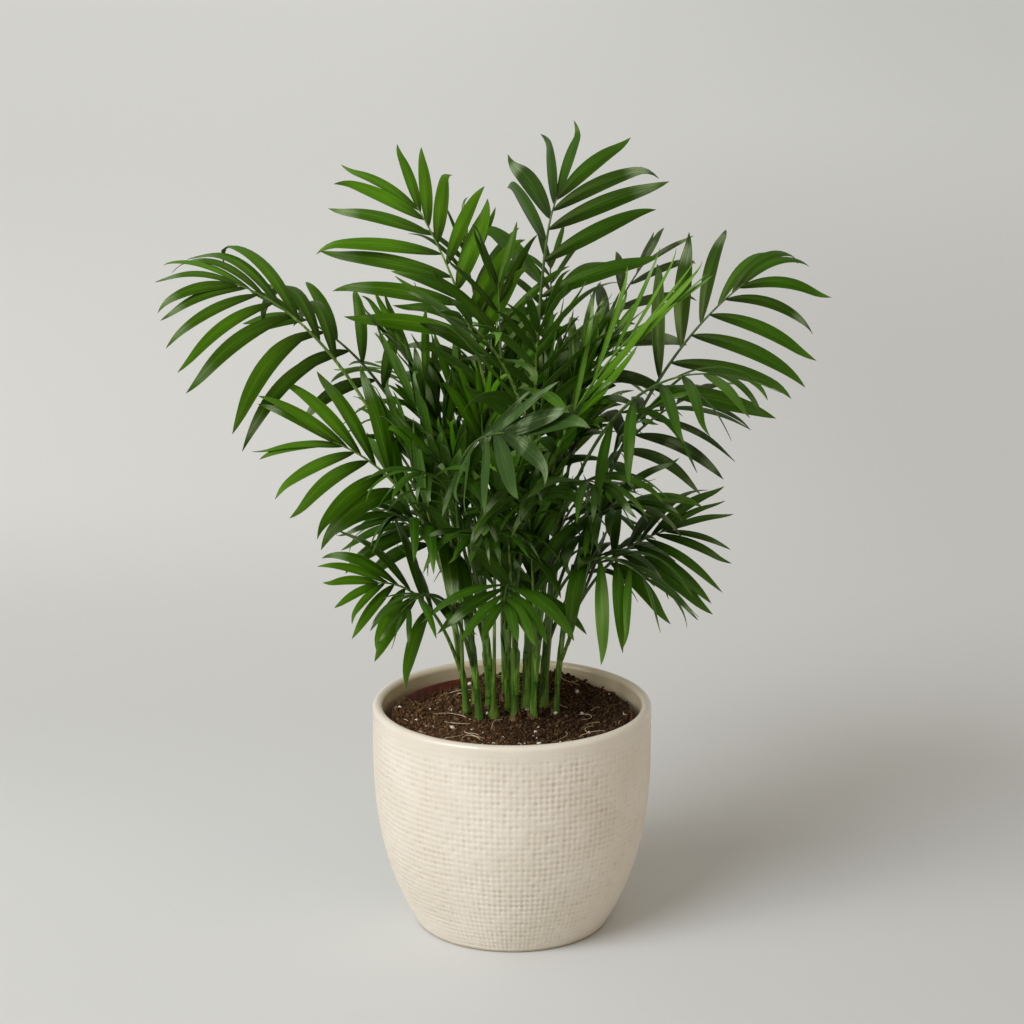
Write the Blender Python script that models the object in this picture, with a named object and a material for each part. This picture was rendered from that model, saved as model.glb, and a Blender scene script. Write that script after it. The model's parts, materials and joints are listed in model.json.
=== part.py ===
# A parlour palm in its glazed cover pot, built the way the real plant is: a clump of thin canes in a
# nursery pot of soil, and pinnate fronds that leave the canes on long stalks.
# Metres, +Z up. The origin is the middle of the pot's flat underside. +X is the plant's right and -Y its front.

import math

import bmesh
import bpy
from mathutils import Matrix, Vector
from mathutils.bvhtree import BVHTree

# Driving sizes of the cover pot
POT_HEIGHT = 0.140
POT_BELLY_RADIUS = 0.085
POT_BELLY_HEIGHT = 0.115
POT_FOOT_RADIUS = 0.059
POT_BELLY_POWER = 2.6
POT_WALL = 0.0062
POT_FLOOR = 0.009
LIP_RADIUS = 0.0031
POT_SIDES = 44

# Driving sizes of the nursery pot and the soil in it
NURSERY_RIM_RADIUS = 0.0735
NURSERY_FOOT_RADIUS = 0.050
NURSERY_WALL = 0.0014
NURSERY_RIM_HEIGHT = 0.132
NURSERY_RIM_WIDTH = 0.0024
NURSERY_RIM_DEPTH = 0.006
NURSERY_FLOOR = 0.002
NURSERY_SIDES = 32
SOIL_TOP = 0.127
SOIL_EDGE_DROP = 0.003
SOIL_FLAT_RADIUS = 0.050

# Gaps between neighbours that touch on the real plant
SEAT_GAP = 0.0003
SEAT_STEP = 0.0001
LEAF_CLEARANCE = 0.0004

# Canes and stalks
CANE_FOOT_RADIUS = 0.0040
CANE_RADIUS = 0.0029
CANE_TIP_RADIUS = 0.0022
CANE_FLARE_HEIGHT = 0.010
CANE_SIDES = 5
STALK_RADIUS = 0.0014
RIB_TIP_RADIUS = 0.0007
RIB_SIDES = 4
RIB_SEGMENTS = 7

# Leaflets
LEAF_THICKNESS = 0.0011
ROOT_THICKNESS_SHARE = 0.5
LEAF_WIDTH_SHARE = 0.135
LEAF_STEPS = 12
LEAF_RINGS = (0, 3, 7)
FILLER_RINGS = (0, 5)
LEAF_ANGLE_AT_FORK = 0.33
FORK_SHARE = 0.985
FORK_STAGGER = 0.03
# What a leaflet tries in turn when another limb or frond is in its way: degrees of lift, share of length
LEAF_TRIES = ((0, 1), (9, 1), (-9, 1), (18, 1), (-18, 1),
              (0, 0.8), (14, 0.8), (-14, 0.8), (28, 0.85), (-28, 0.85))
# Degrees that a whole frond turns aside when its rib would touch another
RIB_TRIES = (0, 2, -2, 4, -4, 6, -6, 9, -9, 12, -12, 16, -16)

LEAF_GREEN = (0.055, 0.150, 0.025)
NEW_LEAF_GREEN = (0.190, 0.370, 0.050)
CANE_GREEN = (0.110, 0.240, 0.050)
GLAZE_CREAM = (0.780, 0.700, 0.560)
TERRACOTTA = (0.330, 0.090, 0.050)
SOIL_BROWN = (0.045, 0.028, 0.018)

# Each cane: foot x and y, how far its tip leans in x and y, and its length above the soil, in millimetres
CANES = (
    (-28, 8, -14, 2, 95),
    (-20, -1, -12, -4, 90),
    (-11, 3, -7, -8, 72),
    (2, -2, 0, -6, 100),
    (13, 0, 8, -4, 105),
    (27, 12, 10, 0, 95),
    (-14, 20, -8, 6, 110),
    (-2, 14, -2, 4, 120),
    (9, 18, 3, 6, 115),
    (19, 24, 8, 8, 105),
    (-22, 32, -12, 12, 100),
    (-4, 35, 0, 14, 105),
    (11, 38, 6, 14, 100),
)


def frond(name, cane, up, heading, reach, tip, crest, pairs=6, leaf=68, **more):
    """One frond's driving sizes. It leaves its cane at the share up of the cane's length and ends at the fork,
    reach millimetres from the pot's axis towards heading (0 is right, 90 back, 270 front), tip millimetres up.
    Its line is drawn towards a point crest millimetres up, lean of the way out and sweep millimetres aside."""
    sizes = dict(lean=0.35, sweep=0, bare=0.55, angle=58, lift=-8, droop=1.0, roll=0, width=1.0, young=False,
                 rings=LEAF_RINGS)
    sizes.update(more)
    return dict(name=name, cane=cane, up=up, heading=heading, reach=reach, tip=tip, crest=crest, pairs=pairs,
                leaf=leaf, **sizes)


def filler(*places, pairs=5, leaf=62, **more):
    """A frond inside the crown or on its far side, with fewer and wider leaflets."""
    return frond(*places, pairs=pairs, leaf=leaf, width=1.2, rings=FILLER_RINGS, **more)


FRONDS = [
    # The arching and upright fronds of the outline, as they stand in the photograph
    frond("left_arch", 0, 0.96, 188, 161, 400, 373, pairs=7, leaf=80, lean=0.42, angle=64, roll=-44, lift=-25,
          bare=0.52, droop=1.2),
    frond("left_behind", 10, 0.95, 160, 142, 370, 345, leaf=62, roll=-20, droop=1.1),
    frond("upper_left", 7, 0.96, 145, 66, 430, 358, pairs=7, leaf=80, lean=0.13, angle=54, droop=0.7),
    frond("top_centre", 8, 0.98, 56, 51, 431, 358, leaf=76, lean=0.25, angle=50, lift=-22, droop=0.6),
    frond("right_back", 12, 0.95, 49, 127, 395, 338, leaf=58, lean=0.30, lift=-15, droop=0.6),
    frond("right_arch", 5, 0.97, 12, 141, 391, 347, pairs=7, leaf=73, lean=0.40, angle=66, roll=50, lift=-18,
          droop=1.1),
    frond("right_front", 4, 0.90, 319, 144, 362, 350, leaf=74, lean=0.3, roll=10, droop=1.7),
    frond("right_mid_back", 9, 0.80, 31, 136, 316, 302, leaf=66, roll=25, droop=1.5),
    frond("right_low", 5, 0.55, 0, 93, 247, 234, leaf=62, roll=35, droop=0.9),
    frond("right_low_front", 4, 0.50, 313, 112, 240, 264, leaf=67, roll=10, droop=1.9),
    frond("centre_front", 2, 0.95, 275, 110, 330, 315, leaf=68, sweep=-40, roll=62, angle=55, droop=0.95),
    frond("low_front", 3, 0.45, 267, 86, 228, 244, pairs=4, leaf=62, droop=1.5),
    frond("left_mid", 1, 0.80, 196, 108, 308, 286, leaf=70, roll=-35, droop=0.9),
    frond("left_low", 0, 0.30, 201, 85, 223, 218, leaf=62, angle=64, roll=-30, droop=1.4),
    frond("left_low_back", 10, 0.50, 149, 88, 244, 236, pairs=5, leaf=56, roll=-20),
    frond("upper_front", 4, 0.99, 251, 86, 391, 352, leaf=80, sweep=12, droop=1.0),
    frond("new_leaf", 3, 0.97, 344, 86, 382, 335, leaf=66, lean=0.3, bare=0.42, angle=24, lift=0, droop=-0.3,
          width=0.55, young=True),
    # The fronds that fill the middle
    filler("mid_left", 6, 0.80, 163, 72, 371, 320, droop=0.7),
    filler("upper_middle", 7, 0.85, 105, 32, 392, 330, droop=0.7),
    filler("middle_right", 8, 0.80, 20, 62, 358, 320, leaf=60),
    filler("front_left", 2, 0.75, 235, 88, 300, 290, droop=1.2),
    filler("front_right", 4, 0.75, 300, 98, 296, 300, droop=1.5),
    filler("inner_left", 1, 0.95, 188, 62, 336, 300, leaf=60),
    filler("inner_right", 5, 0.75, 352, 80, 322, 296, leaf=60, droop=1.2),
    filler("middle_front", 3, 0.80, 285, 70, 286, 280, leaf=60),
    filler("middle_left", 6, 0.60, 215, 55, 300, 280, leaf=60),
    filler("middle_back", 7, 0.60, 60, 50, 320, 290),
    filler("middle", 8, 0.55, 330, 40, 318, 290),
    filler("middle_low", 7, 0.45, 252, 58, 258, 250, pairs=4),
    filler("middle_high", 8, 0.75, 300, 30, 374, 330, pairs=4),
    filler("inner_left_low", 6, 0.40, 200, 72, 262, 250, pairs=4),
    filler("inner_right_low", 9, 0.55, 335, 74, 272, 260, pairs=4, droop=1.2),
    filler("low_left_front", 1, 0.40, 226, 92, 216, 236, pairs=4, leaf=58, droop=1.6),
    filler("low_right", 9, 0.40, 25, 88, 226, 230, pairs=4, leaf=56, droop=1.3),
    # The far side, which the photograph hides
    filler("back_left_low", 10, 0.40, 128, 102, 238, 246, droop=1.4),
    filler("back_low", 11, 0.45, 92, 108, 226, 240, droop=1.5),
    filler("back_right_low", 12, 0.45, 60, 104, 250, 250, droop=1.4),
    filler("back_left_arch", 10, 0.75, 124, 140, 322, 318, leaf=70, droop=1.4),
    filler("back_arch", 11, 0.95, 94, 150, 350, 352, leaf=72, pairs=6, droop=1.4),
    filler("back_right_arch", 12, 0.75, 67, 136, 320, 318, leaf=70, droop=1.4),
    filler("back_upper", 11, 0.85, 108, 96, 402, 345, leaf=70, droop=0.9),
    filler("back_upper_right", 9, 0.95, 76, 98, 392, 345, leaf=66, droop=0.9),
]


def clear_scene():
    for obj in list(bpy.data.objects):
        bpy.data.objects.remove(obj)


def material(name, colour, roughness):
    made = bpy.data.materials.new(name)
    made.use_nodes = True
    shader = made.node_tree.nodes["Principled BSDF"]
    shader.inputs["Base Color"].default_value = (*colour, 1)
    shader.inputs["Roughness"].default_value = roughness
    made.diffuse_color = (*colour, 1)
    return made


def object_from(bm, name, finish):
    mesh = bpy.data.meshes.new(name)
    bm.to_mesh(mesh)
    bm.free()
    obj = bpy.data.objects.new(name, mesh)
    bpy.context.scene.collection.objects.link(obj)
    obj.data.materials.append(finish)
    return obj


def turned(profile, sides, name, finish):
    """A closed solid of revolution. The profile is radius and height pairs that start and end on the axis."""
    bm = bmesh.new()
    points = [bm.verts.new((radius, 0, height)) for radius, height in profile]
    edges = [bm.edges.new(pair) for pair in zip(points, points[1:])]
    bmesh.ops.spin(bm, geom=points + edges, axis=(0, 0, 1), cent=(0, 0, 0), angle=math.tau, steps=sides,
                   use_merge=True)
    bmesh.ops.remove_doubles(bm, verts=bm.verts, dist=1e-6)
    bmesh.ops.recalc_face_normals(bm, faces=bm.faces)
    obj = object_from(bm, name, finish)
    obj.data.shade_smooth()
    obj.data.set_sharp_from_angle(angle=math.radians(40))
    return obj


def belly_radius(height):
    """The cover pot's outer radius: it swells from the foot and stands upright near the rim."""
    rise = max(0, 1 - height / POT_BELLY_HEIGHT)
    return POT_FOOT_RADIUS + (POT_BELLY_RADIUS - POT_FOOT_RADIUS) * (1 - rise ** POT_BELLY_POWER)


def cover_pot():
    outside = [(belly_radius(share * POT_BELLY_HEIGHT), share * POT_BELLY_HEIGHT)
               for share in (0.012, 0.07, 0.17, 0.30, 0.46, 0.66, 1)]
    lip_centre = POT_BELLY_RADIUS - LIP_RADIUS
    lip = [(lip_centre + LIP_RADIUS * math.cos(turn), POT_HEIGHT - LIP_RADIUS + LIP_RADIUS * math.sin(turn))
           for turn in (math.pi * step / 5 for step in range(6))]
    inside = [(radius - POT_WALL, height) for radius, height in reversed(outside) if height > 2 * POT_FLOOR]
    foot = [(0, 0), (POT_FOOT_RADIUS - 0.0012, 0)]
    floor = [(inside[-1][0] - 0.008, POT_FLOOR), (0, POT_FLOOR)]
    profile = foot + outside + lip + inside + floor
    return turned(profile, POT_SIDES, "cover_pot", material("glaze", GLAZE_CREAM, 0.4))


def nursery_radius(height):
    share = (height - POT_FLOOR) / (NURSERY_RIM_HEIGHT - POT_FLOOR)
    return NURSERY_FOOT_RADIUS + (NURSERY_RIM_RADIUS - NURSERY_RIM_WIDTH - NURSERY_FOOT_RADIUS) * share


def nursery_pot():
    foot = POT_FLOOR + SEAT_GAP
    step = NURSERY_RIM_HEIGHT - NURSERY_RIM_DEPTH
    profile = [
        (0, foot),
        (nursery_radius(foot), foot),
        (nursery_radius(step), step),
        (NURSERY_RIM_RADIUS, step + 0.0008),
        (NURSERY_RIM_RADIUS, NURSERY_RIM_HEIGHT),
        (nursery_radius(NURSERY_RIM_HEIGHT) - NURSERY_WALL, NURSERY_RIM_HEIGHT),
        (nursery_radius(foot + NURSERY_FLOOR) - NURSERY_WALL, foot + NURSERY_FLOOR),
        (0, foot + NURSERY_FLOOR),
    ]
    return turned(profile, NURSERY_SIDES, "nursery_pot", material("nursery_plastic", TERRACOTTA, 0.5))


def soil():
    low = POT_FLOOR + NURSERY_FLOOR + 2 * SEAT_GAP
    edge = SOIL_TOP - SOIL_EDGE_DROP
    inset = NURSERY_WALL + 1.5 * SEAT_GAP
    profile = [
        (0, low),
        (nursery_radius(low) - inset, low),
        (nursery_radius(edge) - inset, edge),
        (SOIL_FLAT_RADIUS, SOIL_TOP),
        (0, SOIL_TOP),
    ]
    return turned(profile, NURSERY_SIDES, "soil", material("potting_soil", SOIL_BROWN, 0.9))


def loft(rings, tip=None):
    """A closed bmesh through rings of points, flat at its foot and at its end, or drawn to a tip."""
    bm = bmesh.new()
    loops = [[bm.verts.new(point) for point in ring] for ring in rings]
    bm.faces.new(reversed(loops[0]))
    for low, high in zip(loops, loops[1:]):
        for i in range(len(low)):
            j = (i + 1) % len(low)
            bm.faces.new((low[i], low[j], high[j], high[i]))
    if tip is None:
        bm.faces.new(loops[-1])
    else:
        point = bm.verts.new(tip)
        last = loops[-1]
        for i in range(len(last)):
            bm.faces.new((last[i], last[(i + 1) % len(last)], point))
    bmesh.ops.recalc_face_normals(bm, faces=bm.faces)
    return bm


def ring_round(centre, along, radius, sides, facing=Vector((1, 0, 0))):
    """Points round a limb's centre, square to its direction, with a flat side towards facing."""
    across = (facing - along * facing.dot(along)).normalized()
    other = along.cross(across)
    turns = [math.tau * (i + 0.5) / sides for i in range(sides)]
    return [centre + radius * (math.cos(turn) * across + math.sin(turn) * other) for turn in turns]


def cane_point(number, share):
    """The middle of a cane at a share of its length. The lean grows towards the tip."""
    x, y, lean_x, lean_y, length = (size / 1000 for size in CANES[number])
    bend = share ** 1.5
    return Vector((x + lean_x * bend, y + lean_y * bend, SOIL_TOP + SEAT_GAP + length * share))


def cane_radius(number, share):
    length = CANES[number][4] / 1000
    flare = max(0, 1 - share * length / CANE_FLARE_HEIGHT)
    return CANE_RADIUS + (CANE_TIP_RADIUS - CANE_RADIUS) * share + (CANE_FOOT_RADIUS - CANE_RADIUS) * flare


def cane_shape(number, extra=0.0):
    length = CANES[number][4] / 1000
    shares = (0, CANE_FLARE_HEIGHT / length, 0.4, 0.7, 1)
    upright = Vector((0, 0, 1))
    return loft([ring_round(cane_point(number, share), upright, cane_radius(number, share) + extra, CANE_SIDES)
                 for share in shares])


def rib_line(sizes, turn, off):
    """The frond's line, as functions of a share from 0 at the cane to 1 at the fork. Its foot stands off the
    cane's surface by the distance off."""
    heading = math.radians(sizes["heading"] + turn)
    out = Vector((math.cos(heading), math.sin(heading), 0))
    aside = Vector((-out.y, out.x, 0))
    fork = out * sizes["reach"] / 1000 + Vector((0, 0, sizes["tip"] / 1000))
    axis = cane_point(sizes["cane"], sizes["up"])
    away = fork - axis
    away.z = 0
    away.normalize()
    root = axis + away * (cane_radius(sizes["cane"], sizes["up"]) + off)
    pull = root.lerp(fork, sizes["lean"]) + aside * sizes["sweep"] / 1000
    pull.z = sizes["crest"] / 1000

    def at(share):
        return root * (1 - share) ** 2 + pull * 2 * share * (1 - share) + fork * share ** 2

    def along(share):
        return ((pull - root) * (1 - share) + (fork - pull) * share).normalized()

    return at, along, aside


def rib_radius(share):
    return STALK_RADIUS + (RIB_TIP_RADIUS - STALK_RADIUS) * share


def rib_shape(line, extra=0.0):
    at, along, aside = line
    shares = [i / RIB_SEGMENTS for i in range(RIB_SEGMENTS + 1)]
    return loft([ring_round(at(share), along(share), rib_radius(share) + extra, RIB_SIDES, aside)
                 for share in shares])


def blade_width(share):
    """A leaflet's width at a share of its length, as part of its greatest: narrow root, long fine tip."""
    return 0.11 * (1 - share) ** 2 + share ** 0.7 * (1 - share) ** 1.15 / 0.293


def leaflet_places(sizes):
    """Where the leaflets stand on the rib: side, and share along the leafy part. The sides alternate a little."""
    last = sizes["pairs"] - 1
    for pair in range(sizes["pairs"]):
        for side in (1, -1):
            stagger = side * (0.25 / last if pair < last else FORK_STAGGER)
            yield side, min(1, max(0, pair / last + stagger))


def leaflet_line(sizes, line, side, place, lift, length_share):
    """The points along a leaflet's middle, with the direction and the blade's width direction at each."""
    at, along, aside = line
    share = sizes["bare"] + (FORK_SHARE - sizes["bare"]) * place
    forward = along(share)
    level = (aside - forward * aside.dot(forward)).normalized()
    across = Matrix.Rotation(math.radians(sizes["roll"]), 3, forward) @ level
    face = forward.cross(across)
    angle = math.radians(sizes["angle"] * (1 + (LEAF_ANGLE_AT_FORK - 1) * place ** 1.4))
    raised = math.radians(sizes["lift"] + lift)
    start = math.cos(angle) * forward + math.sin(angle) * (side * math.cos(raised) * across
                                                           + math.sin(raised) * face)
    blade = (forward - start * forward.dot(start)).normalized()
    fullness = 1 - 0.9 * (place - 0.45) ** 2
    length = sizes["leaf"] / 1000 * fullness * length_share
    point = at(share)
    steps = []
    for step in range(LEAF_STEPS + 1):
        way = (start + Vector((0, 0, -sizes["droop"] * (step / LEAF_STEPS) ** 1.4))).normalized()
        wide = (blade - way * blade.dot(way)).normalized()
        steps.append((point.copy(), way, wide * side))
        point += way * length / LEAF_STEPS
    return steps, length


def leaflet_shape(sizes, line, side, place, lift, length_share, extra=0.0):
    """A leaflet of three-sided section: flat on top, with a keel under its middle."""
    steps, length = leaflet_line(sizes, line, side, place, lift, length_share)
    width = length * LEAF_WIDTH_SHARE * sizes["width"] * (1.2 if place > 1 - 2 * FORK_STAGGER else 1)
    rings = []
    for number in sizes["rings"]:
        point, way, wide = steps[number]
        half = wide * (width * blade_width(number / LEAF_STEPS) / 2 + extra)
        thickness = LEAF_THICKNESS * (ROOT_THICKNESS_SHARE if number == 0 else 1)
        under = way.cross(wide).normalized() * (thickness / 2 + extra)
        rings.append([point + half - under / 2, point - half - under / 2, point + under])
    tip, way, _ = steps[-1]
    return loft(rings, tip + way * extra)


class Space:
    """What already stands in the plant's space, so that the next limb or leaflet keeps clear of it."""

    def __init__(self):
        self.taken = []

    @staticmethod
    def box(bm):
        return [(min(v.co[i] for v in bm.verts), max(v.co[i] for v in bm.verts)) for i in range(3)]

    def add(self, bm, owner):
        self.taken.append((self.box(bm), BVHTree.FromBMesh(bm), owner))

    def blocked(self, bm, skip=()):
        mine = self.box(bm)
        tree = BVHTree.FromBMesh(bm)
        for box, other, owner in self.taken:
            apart = any(a[1] < b[0] or b[1] < a[0] for a, b in zip(mine, box))
            if owner not in skip and not apart and tree.overlap(other):
                return True
        return False


def build_canes(space, finish):
    for number in range(len(CANES)):
        bm = cane_shape(number)
        space.add(bm, ("cane", number))
        object_from(bm, f"cane_{number + 1:02d}", finish)


def seated_line(space, sizes, turn):
    """The frond's line with its foot as close to its own cane as the seat gap allows."""
    others = {owner for _, _, owner in space.taken} - {("cane", sizes["cane"])}
    for step in range(40):
        line = rib_line(sizes, turn, SEAT_STEP * step)
        if not space.blocked(rib_shape(line, 1.3 * SEAT_GAP), others):
            return line


def settle_ribs(space):
    """Gives each frond the first line that keeps clear of the other canes and of the ribs before it."""
    lines = {}
    for sizes in FRONDS:
        for turn in RIB_TRIES:
            line = seated_line(space, sizes, turn)
            if not space.blocked(rib_shape(line, LEAF_CLEARANCE), {("cane", sizes["cane"])}):
                lines[sizes["name"]] = line
                space.add(rib_shape(line), ("rib", sizes["name"]))
                break
        else:
            print("no room for", sizes["name"])
    return lines


def settle_leaflets(space, sizes, line):
    """The shapes of the leaflets that find room beside everything outside their own rib."""
    shapes = []
    own = {("rib", sizes["name"]), ("leaf", sizes["name"])}
    for side, place in leaflet_places(sizes):
        for lift, length_share in LEAF_TRIES:
            swollen = leaflet_shape(sizes, line, side, place, lift, length_share, LEAF_CLEARANCE)
            if not space.blocked(swollen, own):
                shape = leaflet_shape(sizes, line, side, place, lift, length_share)
                space.add(shape, ("leaf", sizes["name"]))
                shapes.append(shape)
                break
    return shapes


def join(obj, others, name):
    """One Boolean union of a rib and its leaflets, applied."""
    group = bpy.data.collections.new(name + "_leaflets")
    bpy.context.scene.collection.children.link(group)
    for other in others:
        bpy.context.scene.collection.objects.unlink(other)
        group.objects.link(other)
    union = obj.modifiers.new("leaflets", "BOOLEAN")
    union.operation = "UNION"
    union.operand_type = "COLLECTION"
    union.collection = group
    union.solver = "MANIFOLD"
    whole = bpy.data.meshes.new_from_object(obj.evaluated_get(bpy.context.evaluated_depsgraph_get()))
    obj.modifiers.clear()
    obj.data = whole
    for other in others:
        bpy.data.objects.remove(other)
    bpy.data.collections.remove(group)


def build_fronds(space, green, new_green):
    lines = settle_ribs(space)
    wanted = made = 0
    for sizes in FRONDS:
        if sizes["name"] not in lines:
            continue
        line = lines[sizes["name"]]
        finish = new_green if sizes["young"] else green
        name = "frond_" + sizes["name"]
        rib = object_from(rib_shape(line), name, finish)
        shapes = settle_leaflets(space, sizes, line)
        leaflets = [object_from(shape, f"{name}_{i}", finish) for i, shape in enumerate(shapes)]
        wanted += 2 * sizes["pairs"]
        made += len(leaflets)
        join(rib, leaflets, name)
    print("leaflets", made, "of", wanted)


def main():
    clear_scene()
    cover_pot()
    nursery_pot()
    soil()
    space = Space()
    build_canes(space, material("cane", CANE_GREEN, 0.45))
    build_fronds(space, material("leaf", LEAF_GREEN, 0.4), material("new_leaf", NEW_LEAF_GREEN, 0.4))


main()
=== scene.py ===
import json
import math
import random

import bmesh
import bpy
from mathutils import Matrix, Vector, noise

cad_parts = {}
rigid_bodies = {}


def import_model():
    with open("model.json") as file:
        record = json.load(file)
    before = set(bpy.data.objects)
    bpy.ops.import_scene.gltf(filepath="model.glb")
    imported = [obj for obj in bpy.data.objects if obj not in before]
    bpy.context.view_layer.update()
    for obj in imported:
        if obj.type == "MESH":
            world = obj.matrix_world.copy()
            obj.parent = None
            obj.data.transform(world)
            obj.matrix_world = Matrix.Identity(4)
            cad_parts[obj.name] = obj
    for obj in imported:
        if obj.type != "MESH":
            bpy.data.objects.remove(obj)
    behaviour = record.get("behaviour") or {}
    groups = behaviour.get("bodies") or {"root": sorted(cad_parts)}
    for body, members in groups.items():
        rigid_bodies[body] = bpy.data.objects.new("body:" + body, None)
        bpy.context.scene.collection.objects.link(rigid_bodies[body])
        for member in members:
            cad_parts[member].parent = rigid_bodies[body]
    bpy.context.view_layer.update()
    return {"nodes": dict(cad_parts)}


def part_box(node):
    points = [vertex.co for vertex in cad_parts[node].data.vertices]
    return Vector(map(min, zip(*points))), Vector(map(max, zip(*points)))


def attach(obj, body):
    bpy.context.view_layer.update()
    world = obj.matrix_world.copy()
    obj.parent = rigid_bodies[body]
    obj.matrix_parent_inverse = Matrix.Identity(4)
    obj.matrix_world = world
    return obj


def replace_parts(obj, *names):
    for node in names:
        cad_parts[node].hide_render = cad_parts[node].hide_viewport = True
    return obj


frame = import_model()
print("frame loaded:", len(frame["nodes"]), "nodes")

up = Vector((0, 0, 1))
mm = 0.001
golden = 0.618  # number * golden % 1 spreads numbered things evenly from 0 to 1


# Materials: sRGB colours are turned to linear here, and one function adds any node
def linear(code):
    parts = [int(code[i:i + 2], 16) / 255 for i in (0, 2, 4)]
    return (*[p / 12.92 if p <= 0.04045 else ((p + 0.055) / 1.055) ** 2.4 for p in parts], 1)


def addNode(tree, kind, settings):
    # each setting is a socket to link from, a property of the node or a value for one of its sockets
    node = tree.nodes.new("ShaderNode" + kind)
    for name, value in settings.items():
        if isinstance(value, bpy.types.NodeSocket):
            tree.links.new(value, node.inputs[name])
        elif isinstance(name, str) and name in node.bl_rna.properties:
            setattr(node, name, value)
        else:
            node.inputs[name].default_value = value
    return node


def startMaterial(name, settings):  # a Principled material with its constant sockets set
    made = bpy.data.materials.new(name)
    made.use_nodes = True
    shader = made.node_tree.nodes["Principled BSDF"]
    for socket, value in settings.items():
        shader.inputs[socket].default_value = value
    return made, made.node_tree, shader


def patternScale(size):  # a texture scale whose features measure size millimetres
    return 1 / (size * mm)


def objectNoise(tree, size, detail=2, stretch=(1, 1, 1), roughness=0.5):
    place = addNode(tree, "TexCoord", {}).outputs["Object"]
    turned = addNode(tree, "Mapping", {"Vector": place, "Scale": stretch}).outputs["Vector"]
    return addNode(tree, "TexNoise", {"Vector": turned, "Scale": patternScale(size), "Detail": detail,
                                      "Roughness": roughness}).outputs["Fac"]


def ramp(tree, factor, low, high, toLow=0.0, toHigh=1.0):  # a smooth step from low to high
    settings = {"interpolation_type": "SMOOTHSTEP", 0: factor, 1: low, 2: high, 3: toLow, 4: toHigh}
    return addNode(tree, "MapRange", settings).outputs[0]


def times(tree, first, second):
    return addNode(tree, "Math", {"operation": "MULTIPLY", 0: first, 1: second}).outputs[0]


def objectAxis(tree, axis):  # where a point lies along one axis, in metres
    place = addNode(tree, "TexCoord", {}).outputs["Object"]
    return addNode(tree, "SeparateXYZ", {"Vector": place}).outputs[axis]


def mixColour(tree, factor, first, second):
    return addNode(tree, "Mix", {"data_type": "RGBA", 0: factor, 6: first, 7: second}).outputs[2]


def addBump(tree, shader, height, depth):  # depth in millimetres
    bump = addNode(tree, "Bump", {"Height": height, "Distance": depth * mm})
    tree.links.new(bump.outputs["Normal"], shader.inputs["Normal"])


# Pieces: every one is a mesh at the origin that rides on the root body
def makePiece(bm, name, slot, *finishes, sharpOver=None):
    mesh = bpy.data.meshes.new(name)
    bm.to_mesh(mesh)
    bm.free()
    for finish in finishes:
        mesh.materials.append(finish)
    mesh.shade_smooth()
    if sharpOver:
        mesh.set_sharp_from_angle(angle=math.radians(sharpOver))
    piece = bpy.data.objects.new(name, mesh)
    bpy.context.scene.collection.objects.link(piece)
    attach(piece, "root")
    return piece


def turned(profile, steps):  # a grid wrapped round the pot's axis, from radius and height pairs
    bm = bmesh.new()
    last = len(profile) - 1
    bmesh.ops.create_grid(bm, x_segments=steps, y_segments=last, size=0.5)
    for vert in bm.verts:
        radius, height = profile[round((vert.co.y + 0.5) * last)]
        turn = (vert.co.x + 0.5) * math.tau
        vert.co = (radius * math.cos(turn), radius * math.sin(turn), height)
    seam = [vert for vert in bm.verts if abs(vert.co.y) < 1e-6 and vert.co.x > -1e-6]
    bmesh.ops.remove_doubles(bm, verts=seam, dist=1e-6)
    bmesh.ops.recalc_face_normals(bm, faces=bm.faces)
    return bm


def gather(whole, part):  # moves a small mesh into a big one, quicker than growing the big one
    mesh = bpy.data.meshes.new("part")
    part.to_mesh(mesh)
    part.free()
    whole.from_mesh(mesh)
    bpy.data.meshes.remove(mesh)


def tubes(name, slot, lines, sides, finish):  # tapering round limbs, each a list of (place, radius)
    curve = bpy.data.curves.new(name, "CURVE")
    curve.dimensions = "3D"
    curve.bevel_depth = 1 * mm
    curve.bevel_resolution = sides
    curve.use_fill_caps = True
    for line in lines:
        spline = curve.splines.new("POLY")
        spline.points.add(len(line) - 1)
        for point, (place, radius) in zip(spline.points, line):
            point.co = (*place, 1)
            point.radius = radius / (1 * mm)
    holder = bpy.data.objects.new(name, curve)
    bpy.context.scene.collection.objects.link(holder)
    mesh = bpy.data.meshes.new_from_object(holder.evaluated_get(bpy.context.evaluated_depsgraph_get()))
    bm = bmesh.new()
    bm.from_mesh(mesh)
    for used, store in ((holder, bpy.data.objects), (curve, bpy.data.curves), (mesh, bpy.data.meshes)):
        store.remove(used)
    bmesh.ops.recalc_face_normals(bm, faces=bm.faces)
    return makePiece(bm, name, slot, finish)


# Cover pot: stoneware cast with a burlap imprint, a smooth round lip and a bare foot
potLow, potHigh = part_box("cover_pot")
potShape = {
    "bellyRadius": potHigh.x,
    "height": potHigh.z,
    "bellyHeight": 0.115,
    "footRadius": 0.059,
    "bellyPower": 2.6,
    "wall": 6.2 * mm,
    "floor": 9 * mm,
    "lip": 3.1 * mm,
    "lipSteps": 12,
    "pitch": 3.6 * mm,  # from one pit of the imprint to the next, up and round alike
    "cuts": 4,  # mesh steps from one pit to the next
    "pitDepth": 0.85 * mm,
    "hollow": (0.42, 0.25, 0.33),  # how deep the imprint is at a crossing, down a column and along a row
    "drift": (0.20, 0.16),  # how far rows and columns wander, as a share of the pitch
    "uneven": (0.74, 0.8, 0.4),  # the usual depth of the pits, and how it differs nearby and further off
    "swell": 0.12 * mm,
    "reliefStart": 0.1355,  # the imprint fades out from here up to the smooth band
    "reliefFull": 0.125,
    "footFade": 4 * mm,
}


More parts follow.
